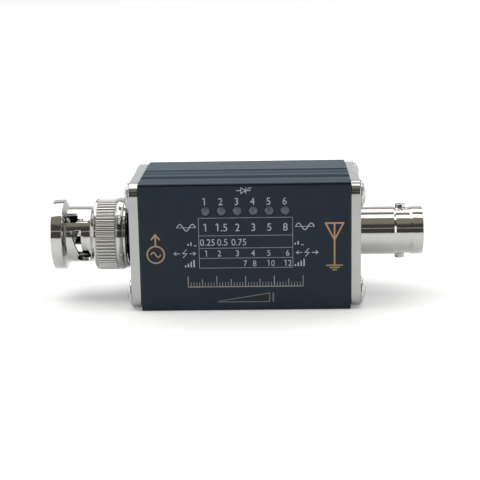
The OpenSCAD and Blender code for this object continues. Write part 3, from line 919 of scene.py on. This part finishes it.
def line(points, width):
    """A printed line of even width through (x, z) points."""
    mitre_limit = 0.5
    left, right = [], []
    for k, point in enumerate(points):
        here = Vector(point)
        before = (here - Vector(points[k - 1])).normalized() if k else None
        after = (Vector(points[k + 1]) - here).normalized() if k + 1 < len(points) else None
        run = ((before or after) + (after or before)).normalized()
        normal = Vector((-run.y, run.x))
        stretch = 1 / max(run.dot(before or after), mitre_limit)
        left.append(tuple(here + normal * width / 2 * stretch))
        right.append(tuple(here - normal * width / 2 * stretch))
    return ink(left + right[::-1])


def number(text, x, z, height):
    """A printed number centred on x and z. A leading 1 gets the flag that the font lacks."""
    data = bpy.data.curves.new("number", "FONT")
    data.body = text
    data.size = height / DIGIT_HEIGHT
    data.align_x = "CENTER"
    data.extrude = INK_T / 2
    data.resolution_u = 6
    obj = bpy.data.objects.new("number", data)
    bpy.context.scene.collection.objects.link(obj)
    graph = bpy.context.evaluated_depsgraph_get()
    mesh = bpy.data.meshes.new_from_object(obj.evaluated_get(graph))
    bm = bmesh.new()
    bm.from_mesh(mesh)
    bpy.data.objects.remove(obj)
    bpy.data.meshes.remove(mesh)
    bpy.data.curves.remove(data)
    for v in bm.verts:
        v.co = (x + v.co.x * DIGIT_SQUEEZE, LABEL_LOW.y - INK_T / 2 - v.co.z, z - height / 2 + v.co.y)
    if text.startswith("1"):
        left, top = min(v.co.x for v in bm.verts), z + height / 2
        flag = [(left + 0.05 * height, top - 0.03 * height), (left - 0.2 * height, top - 0.2 * height)]
        stroke = line(flag, 0.1 * height)
        bmesh.ops.translate(stroke, verts=stroke.verts, vec=(0, -INK_STEP / 2, 0))
        bm = join([bm, stroke])
    return bm


def make_numbers():
    """The lamp numbers and the table of readings: the only lettering on the object."""
    lamp_number_z, lamp_number_height = 21.67, 1.45
    parts = [number(str(k + 1), x - 0.1, lamp_number_z, lamp_number_height) for k, x in enumerate(LAMP_XS)]
    # Each row: its height on the label, the size of its numbers, and each number with its place in lamps.
    rows = [
        (16.62, 1.55, [("1", 0), ("1.5", 1), ("2", 2), ("3", 3), ("5", 4), ("8", 5)]),
        (13.72, 1.35, [("0.25", 0.1), ("0.5", 1.04), ("0.75", 2.08)]),
        (11.52, 1.2, [("1", 0.02), ("2", 0.83), ("3", 1.97), ("4", 2.96), ("5", 3.95), ("6", 5.13)]),
        (9.5, 1.2, [("7", 2.45), ("8", 3.04), ("10", 4.07), ("12", 5.14)]),
    ]
    for z, height, entries in rows:
        parts += [number(text, LAMP_XS[0] + column * LAMP_PITCH, z, height) for text, column in entries]
    printed("label_numbers", parts, "ink_white")


def make_table():
    """The table's frame and the lines between its rows."""
    left, right = -8.83, 9.16
    heights = (18.44, 14.97, 12.53, 10.55, 8.6)
    width = 0.13
    parts = [line([(left, z), (right, z)], width) for z in heights]
    parts += [line([(x, heights[0]), (x, heights[-1])], width) for x in (left, right)]
    printed("label_table", parts, "ink_grey")


def wave(x, z, length, height, periods, width):
    """A printed sine wave centred on x and z."""
    steps = int(24 * periods)
    points = [
        (x + length * (k / steps - 0.5), z + height / 2 * math.sin(TAU * periods * k / steps))
        for k in range(steps + 1)
    ]
    return line(points, width)


def bars(x, z, heights):
    """A rising row of bars from x, the usual sign for a level, round the middle height z."""
    pitch, width, half_row = 0.55, 0.26, 0.7
    low = z - half_row
    return [line([(x + k * pitch, low), (x + k * pitch, low + h)], width) for k, h in enumerate(heights)]


def make_signs():
    """Plain signs in place of words, beside the table's rows and above the lamps."""
    parts = []
    for side, x in ((-1, -9.2), (1, 9.5)):
        parts += wave_sign(side, x) + low_sign(side, x) + power_sign(side, x) + high_sign(side, x)
    parts += lamp_sign(0.0, 23.72)
    printed("label_signs", parts, "ink_white")


def wave_sign(side, x):
    """A wave on its axis, outwards from the table's edge at x."""
    z = 16.62
    axis = line([(x + side * 0.15, z), (x + side * 3.85, z)], 0.1)
    return [wave(x + side * 2.0, z, 3.6, 1.3, 1.5, 0.17), axis]


def bars_start(side, x, length):
    """Where a row of bars of that length starts, on either side of the table's edge at x."""
    return x + (side - 1) / 2 * length + (0.15 if side > 0 else 0)


def low_sign(side, x):
    """Two bars and a dash, for the low range."""
    z = 13.75
    start = bars_start(side, x, 1.7)
    return bars(start, z, (0.4, 0.7)) + [line([(start + 1.1, z - 0.7), (start + 1.6, z - 0.7)], 0.16)]


def power_sign(side, x):
    """A bolt between two arrows, for power."""
    z = 11.5
    bolt = x + side * 2.4
    parts = [line([(bolt + 0.35, z + 0.8), (bolt - 0.4, z), (bolt + 0.4, z), (bolt - 0.35, z - 0.8)], 0.17)]
    for k in (-1, 1):
        tip = bolt + k * 2.1
        parts.append(line([(bolt + k * 0.9, z), (tip, z)], 0.14))
        parts.append(line([(tip - k * 0.45, z + 0.35), (tip, z), (tip - k * 0.45, z - 0.35)], 0.14))
    return parts


def high_sign(side, x):
    """Four rising bars, for the high range."""
    return bars(bars_start(side, x, 2.3), 9.5, (0.4, 0.75, 1.1, 1.45))


def lamp_sign(x, z):
    """The usual sign for an indicator lamp: a triangle, a bar and two small rays."""
    width, half = 0.15, 0.6
    parts = [
        line([(x - 1.5, z), (x - 0.6, z)], width),
        line([(x - 0.6, z + 0.55), (x + 0.3, z), (x - 0.6, z - 0.55), (x - 0.6, z + half)], width),
        line([(x + 0.35, z + half), (x + 0.35, z - half)], width),
        line([(x + 0.35, z), (x + 1.2, z)], width),
    ]
    for dx in (0.65, 1.05):
        parts.append(line([(x + dx, z + 0.2), (x + dx + 0.35, z + 0.62)], 0.12))
    return parts


def make_scales():
    """A graduated scale and a rising wedge in place of the two lines of words below the table."""
    half, z, marks = 11.1, 4.85, 40
    parts = [line([(-half, z), (half, z)], 0.2)]
    for k in range(marks + 1):
        height = 2.1 if k % 10 == 0 else 1.5 if k % 5 == 0 else 0.9
        x = -half + 2 * half * k / marks
        parts.append(line([(x, z), (x, z + height)], 0.18 if k % 5 == 0 else 0.13))
    printed("label_scale", parts, "ink_gold_grey")
    left, right, low, high = -5.4, 4.6, 1.8, 3.5
    bar_x = right + 0.7
    parts = [line([(left, low), (right, low), (right, high), (left, low + 0.12)], 0.15),
             line([(bar_x, low - 0.07), (bar_x, high + 0.07)], 0.24)]
    printed("label_wedge", parts, "ink_warm_grey")


def make_port_signs():
    """A transmitter sign by the plug and an aerial sign by the jack, in coppery ink."""
    x, z, r, width = -17.2, 11.35, 1.65, 0.3
    parts = [line(arc(x, z, r, 0, 360, 40), width), wave(x, z, 1.9, 1.0, 1, 0.26),
             line([(x, z + r), (x, z + 3.7)], width),
             line([(x - 0.85, z + 2.9), (x, z + 3.95), (x + 0.85, z + 2.9)], width)]
    printed("label_transmitter_sign", parts, "ink_copper")
    x, low, high = 17.15, 7.95, 17.2
    parts = [line([(x, low + 0.9), (x, high)], 0.32),
             line([(x - 1.85, high), (x + 1.85, high)], width),
             line([(x - 1.7, high), (x, high - 3.3), (x + 1.7, high)], width)]
    for half, rise in ((1.6, 0.95), (1.0, 0.5), (0.45, 0.05)):
        parts.append(line([(x - half, low + rise), (x + half, low + rise)], 0.26))
    printed("label_aerial_sign", parts, "ink_copper")


# ---- lamps ----


def make_lamp(name):
    """A lamp with a round-topped lens, a base flange and two leads."""
    low, high = box_mm(name)
    x, z = (low.x + high.x) / 2, (low.z + high.z) / 2
    tip = low.y
    flange_r, flange_front = LAMP_R + FLANGE_LIP, FLANGE_BACK - FLANGE_T
    dome_r = (LAMP_R**2 + LENS_H**2) / (2 * LENS_H)
    turns = [math.asin(LAMP_R / dome_r) * k / 12 for k in range(13)]
    lens = [(dome_r * math.sin(t), tip + dome_r * (1 - math.cos(t))) for t in turns]
    base = [
        (LAMP_R, tip + LENS_H + 0.05), (LAMP_R, flange_front), (flange_r, flange_front),
        (flange_r, FLANGE_BACK), (0, FLANGE_BACK),
    ]
    profile = lens + rounded(base, 0.08, 2, is_open=True)[1:]
    parts = [turned(profile, axis_y(x, z), 48)]
    for dx in (-LEAD_OFFSET, LEAD_OFFSET):
        parts.append(rod(axis_y(x + dx, z), LEAD_R, FLANGE_BACK - 0.1, high.y, 16))
    obj = new_object(name + "_visual", join(parts), MATERIALS["lamp_lens"])
    stands_for(obj, "case", "lamp_lens", name)


# ---- plug ----


def make_plug_body():
    """The plug's fixed body: threaded tail, shoulders, and the outer contact with its four slots."""
    r, tip = SLEEVE_R, SLEEVE_TIP
    profile = TAIL + [
        (5.4, 0), (5.4, 0.9), (4.1, 0.9), (4.1, 4.65), (5.6, 4.65), (5.6, 5.5), (3.85, 5.5),
        (3.85, SLEEVE_ROOT), (r, SLEEVE_ROOT), (r, tip), (3.5, tip), (3.5, 4.9), (TAIL_BORE_R, 4.9),
    ]
    obj = new_object("plug_body_visual", turned(rounded(profile, EDGE_R), on_axis(PLUG), 128),
                     MATERIALS["connector_nickel"])
    half = math.degrees(SLEEVE_SLOT_W / 2 / 3.8)
    slots = [rectangle(a - half, SLEEVE_ROOT, a + half, tip + OVERSHOOT) for a in (45, 135, 225, 315)]
    combine(obj, "DIFFERENCE", [patch(slot, 3.0, 4.4) for slot in slots])
    smooth(obj, ROUND_ANGLE)
    stands_for(obj, "case", "connector_nickel", "plug_body")


def make_wave_spring():
    """The wave spring's own copy of its CAD mesh, riding on the case."""
    node = frame["nodes"]["plug_wave_spring"]
    obj = bpy.data.objects.new("plug_wave_spring_visual", node.data.copy())
    obj.matrix_world = node.matrix_world.copy()
    bpy.context.scene.collection.objects.link(obj)
    stands_for(obj, "case", "steel_spring", "plug_wave_spring")
    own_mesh(obj)


def knurled(profile):
    """A turned profile whose outer wall carries the coupling nut's straight teeth."""
    per_tooth = len(TOOTH_FORM)
    segments = KNURL_TEETH * per_tooth
    place = on_axis(PLUG)

    def toothed(r, angle, s):
        k = round(angle / TAU * segments) % per_tooth
        if KNURL_START < s < KNURL_END and r > KNURL_ROOT_R:
            r += KNURL_DEPTH * (TOOTH_FORM[k] - 1)
        return place(r, angle, s)

    return turned(profile, toothed, segments)


def make_coupling_nut():
    """The nut of the plug: a rear ring, the knurl, a plain barrel and the front flange, with its slots."""
    bore_r, chamber_r, flange_r, face = 4.95, 5.75, 7.05, 16.3
    profile = [
        (chamber_r, 1.35), (6.55, 1.35), (6.85, 1.55), (6.88, 2.0), (7.05, 2.0), (7.3, 2.9), (7.3, 3.2),
        (7.02, 3.35), (7.02, 3.45), (7.22, 3.55), (7.22, 7.2), (7.02, 7.3), (7.15, 7.4), (7.15, 7.75),
        (6.05, 8.3), (NUT_R, 8.6), (NUT_R, 13.4), (5.9, 13.55), (flange_r, 14.1), (flange_r, face),
        (5.3, face), (bore_r, face - 0.35), (bore_r, 5.65), (chamber_r, 5.65), (chamber_r, 3.25),
        (6.15, 3.25), (6.15, 2.5), (chamber_r, 2.5),
    ]
    obj = new_object("plug_coupling_nut_visual", knurled(rounded(profile, 0.14)),
                     MATERIALS["connector_nickel"])
    combine(obj, "DIFFERENCE", [cutter for turn in (0, 180) for cutter in bayonet_cutters(turn)])
    smooth(obj, ROUND_ANGLE)
    stands_for(obj, "coupling_nut", "connector_nickel", "plug_coupling_nut")


def bayonet_cutters(turn):
    """One bayonet slot, turned by that angle: window, entry, groove under the bridge, ramp and seat."""
    inner, window_r, through_r = 3.5, 6.0, 6.5
    window_s, window_end, entry_s = 11.15, 14.35, 12.4
    start, end = ENTRY_START + turn, ENTRY_END + turn
    window = rectangle(start, window_s, end, window_end)
    entry = rectangle(start, entry_s, end, 17)
    seat_arc = arc(0, 0, SEAT_R, 0, 345, 23)
    seat = [(turn + SEAT_ANGLE + math.degrees(u / NUT_R), SEAT_S + s) for u, s in seat_arc]
    return [
        patch(arc_corners(window, 5.0, 0.5), inner, window_r),
        patch(dense(entry, 3), inner, BRIDGE_R),
        patch(ramp_outline(20, 46, turn), inner, BRIDGE_R),
        patch(ramp_outline(SEAT_ANGLE, 20.5, turn), inner, through_r),
        patch(seat, inner, through_r),
    ]


def ramp_outline(first, last, turn):
    """The unrolled outline of a bayonet ramp between two angles, sampled every few degrees."""
    steps = max(2, round((last - first) / 2.8))
    angles = [first + (last - first) * k / steps for k in range(steps + 1)]
    lower = [(a + turn, ramp_s(a) - RAMP_W / 2) for a in angles]
    upper = [(a + turn, ramp_s(a) + RAMP_W / 2) for a in reversed(angles)]
    return lower + upper


def ramp_s(angle):
    """Distance of the ramp's middle from the plate, at an angle from the front."""
    middle_s, middle_angle, rise = 11.49, 20.8, 0.0279
    return middle_s + rise * (angle - middle_angle)


def arc_corners(outline, step, radius):
    """An outline of (degrees, s) with rounded corners and points every few degrees."""
    scale = math.radians(1) * NUT_R
    flat = rounded([(a * scale, s) for a, s in outline], radius, 4)
    return dense([(u / scale, s) for u, s in flat], step)


def dense(outline, step):
    """The outline with extra points, so that no edge spans more than that many degrees."""
    out = []
    for here, after in zip(outline, outline[1:] + outline[:1]):
        count = max(1, math.ceil(abs(after[0] - here[0]) / step))
        out += [
            (here[0] + (after[0] - here[0]) * k / count, here[1] + (after[1] - here[1]) * k / count)
            for k in range(count)
        ]
    return out


# ---- jack ----


def make_jack_body():
    """The jack's fixed body: threaded tail, stepped barrel with a rolled rim, and two bayonet lugs."""
    end = JACK_HIGH.x - FACE
    r, neck = JACK_R, JACK_R - 0.175
    mouth_r, bore_r = 4.12, 3.3
    profile = TAIL + [
        (r, 0), (r, 7.1), (neck, 7.5), (neck, end - 2.6), (r, end - 2.1), (r, end), (4.4, end),
        (mouth_r, end - 0.3), (mouth_r, 7.65), (bore_r, 7.65), (bore_r, -1), (TAIL_BORE_R, -1),
    ]
    obj = new_object("jack_body_visual", turned(rounded(profile, EDGE_R), on_axis(JACK), 160),
                     MATERIALS["connector_nickel"])
    combine(obj, "UNION", [jack_lug(up) for up in (-1, 1)])
    smooth(obj, ROUND_ANGLE)
    stands_for(obj, "case", "connector_nickel", "jack_body")


def jack_lug(up):
    """One bayonet lug with a hollowed end: up is 1 for the upper one and -1 for the lower one."""
    lug_s, root, tip = 8.5, 4.4, (JACK_HIGH.z - JACK_LOW.z) / 2

    def place(r, angle, s):
        return (FACE + lug_s + r * math.cos(angle), r * math.sin(angle), AXIS_Z + up * s)

    top = [(0, root), (1.0, root), (1.0, tip), (0.62, tip), (0.5, tip - 0.22), (0, tip - 0.26)]
    return turned(rounded(top, EDGE_R, is_open=True), place, 48)


# ---- build ----

MATERIALS = make_materials()
make_camera()
make_floor()
make_world()
make_light()
for node_object in frame["nodes"].values():
    for material_slot in node_object.material_slots:
        material_slot.material = MATERIALS[slot_name(material_slot.material)]

make_front_shell()
make_rear_shell()
make_end_plate(PLUG, "left_end_plate")
make_end_plate(JACK, "right_end_plate")
make_plate_screws(PLUG, "left_plate_screws")
make_plate_screws(JACK, "right_plate_screws")
make_label()
make_numbers()
make_table()
make_signs()
make_scales()
make_port_signs()
for lamp in LAMPS:
    make_lamp(lamp)
make_slider()
make_plug_body()
make_wave_spring()
make_coupling_nut()
make_jack_body()
